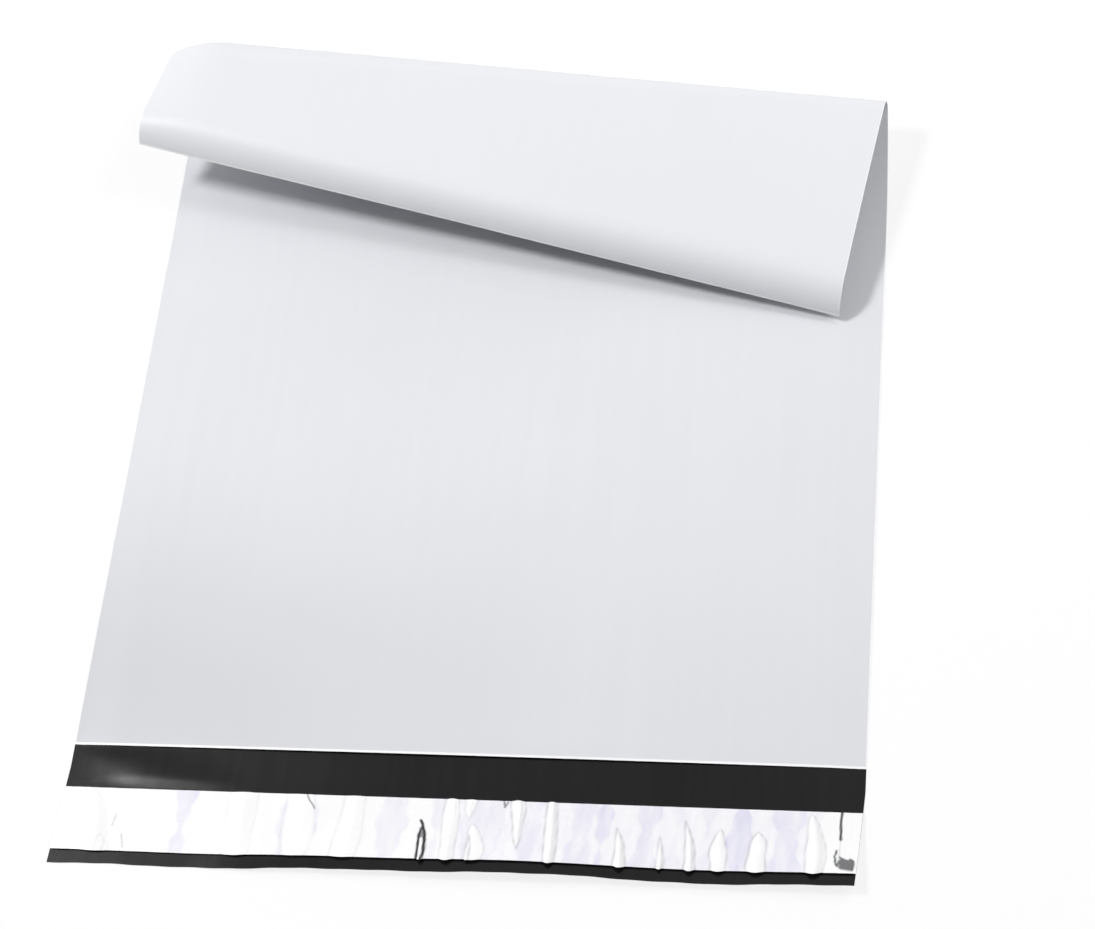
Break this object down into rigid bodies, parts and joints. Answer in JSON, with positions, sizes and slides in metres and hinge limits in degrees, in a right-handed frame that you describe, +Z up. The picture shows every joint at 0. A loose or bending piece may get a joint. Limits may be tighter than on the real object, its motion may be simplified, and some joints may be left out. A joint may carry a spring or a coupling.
{
  "type": "poly mailer bag",
  "caption": "Flat plastic mailing bag, white outside and black inside, its closed end curled over its front, with adhesive and a peel-off liner on its lip.",
  "frame": {"origin": "middle of the mouth, on the underside of the back panel, which is the face the bag rests on", "axes": "+Z up from the floor, +Y from the mouth towards the closed end, +X to the right across the bag seen from its front"},
  "size_m": [0.3162, 0.3641, 0.0394],
  "materials": {
    "film": "satin white polyethylene film outside, near-black inside and on the lip's inner side",
    "adhesive": "clear, slightly milky hot-melt adhesive",
    "liner": "glossy pale silicone-coated film with cross puckers"
  },
  "bodies": {
    "root": {"film_bag": "film", "adhesive_strip": "adhesive", "release_liner": "liner"}
  },
  "joints": []
}
